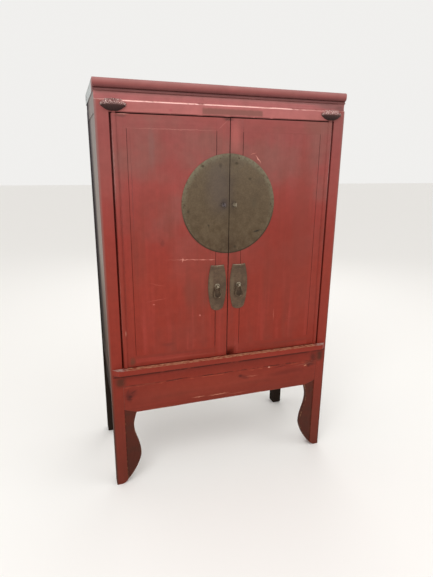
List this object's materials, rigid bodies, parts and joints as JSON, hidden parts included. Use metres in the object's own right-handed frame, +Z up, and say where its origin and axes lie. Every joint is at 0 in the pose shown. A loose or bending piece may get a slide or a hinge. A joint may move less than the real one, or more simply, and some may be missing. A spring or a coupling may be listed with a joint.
{
  "type": "wedding cabinet",
  "caption": "Tall red lacquered cabinet with two pivot-hung doors, a round split brass lock plate, brass ring pulls, a moulded cap and sill, and shaped legs.",
  "frame": {"origin": "on the floor, in the middle of the footprint", "axes": "+Z up, -Y out of the door fronts, +X to the right of someone facing the doors"},
  "size_m": [1.102, 0.547, 1.805],
  "materials": {
    "red_lacquer": "worn red lacquer",
    "dark_lacquer": "dark brown lacquer",
    "bare_wood": "unfinished softwood",
    "aged_brass": "tarnished"
  },
  "bodies": {
    "case": {"back_panel": "bare_wood", "bottom_rear_rail": "bare_wood", "floor_panel": "bare_wood", "front_apron": "red_lacquer", "front_cap": "red_lacquer", "front_waist": "red_lacquer", "left_apron": "dark_lacquer", "left_bottom_rail": "dark_lacquer", "left_cap": "dark_lacquer", "left_front_post": "red_lacquer", "left_leg_bracket": "dark_lacquer", "left_pivot_cap": "red_lacquer", "left_rear_post": "dark_lacquer", "left_shelf_bearer": "bare_wood", "left_side_panel": "dark_lacquer", "left_top_rail": "dark_lacquer", "left_waist": "dark_lacquer", "rear_cap": "dark_lacquer", "rear_waist": "dark_lacquer", "right_apron": "dark_lacquer", "right_bottom_rail": "dark_lacquer", "right_cap": "dark_lacquer", "right_front_post": "red_lacquer", "right_leg_bracket": "dark_lacquer", "right_pivot_cap": "red_lacquer", "right_rear_post": "dark_lacquer", "right_shelf_bearer": "bare_wood", "right_side_panel": "dark_lacquer", "right_top_rail": "dark_lacquer", "right_waist": "dark_lacquer", "shelf": "bare_wood", "sill_rail": "red_lacquer", "top_front_rail": "red_lacquer", "top_panel": "bare_wood", "top_rear_rail": "bare_wood"},
    "left_door": {"left_door_battens": "bare_wood", "left_door_bottom_rail": "red_lacquer", "left_door_meeting_stile": "red_lacquer", "left_door_nails": "aged_brass", "left_door_panel": "red_lacquer", "left_door_pivot_stile": "red_lacquer", "left_door_top_rail": "red_lacquer", "left_lock_eye": "aged_brass", "left_lock_plate": "aged_brass", "left_pull_eye": "aged_brass", "left_pull_plate": "aged_brass"},
    "right_door": {"right_door_battens": "bare_wood", "right_door_bottom_rail": "red_lacquer", "right_door_meeting_stile": "red_lacquer", "right_door_nails": "aged_brass", "right_door_panel": "red_lacquer", "right_door_pivot_stile": "red_lacquer", "right_door_top_rail": "red_lacquer", "right_lock_eye": "aged_brass", "right_lock_plate": "aged_brass", "right_pull_eye": "aged_brass", "right_pull_plate": "aged_brass"},
    "left_pull_ring": {"left_pull_ring": "aged_brass"},
    "right_pull_ring": {"right_pull_ring": "aged_brass"}
  },
  "joints": [
    {"name": "left_door_pivot", "type": "hinge", "parent": "case", "child": "left_door", "pos_m": [-0.4785, -0.242, 1.145], "axis": [0, 0, -1], "range_deg": [0, 145]},
    {"name": "right_door_pivot", "type": "hinge", "parent": "case", "child": "right_door", "pos_m": [0.4785, -0.242, 1.145], "axis": [0, 0, 1], "range_deg": [0, 145]},
    {"name": "left_ring_swing", "type": "hinge", "parent": "left_door", "child": "left_pull_ring", "pos_m": [-0.052, -0.259, 0.958], "axis": [-1, 0, 0], "range_deg": [-4, 110]},
    {"name": "right_ring_swing", "type": "hinge", "parent": "right_door", "child": "right_pull_ring", "pos_m": [0.052, -0.259, 0.958], "axis": [-1, 0, 0], "range_deg": [-4, 110]}
  ]
}
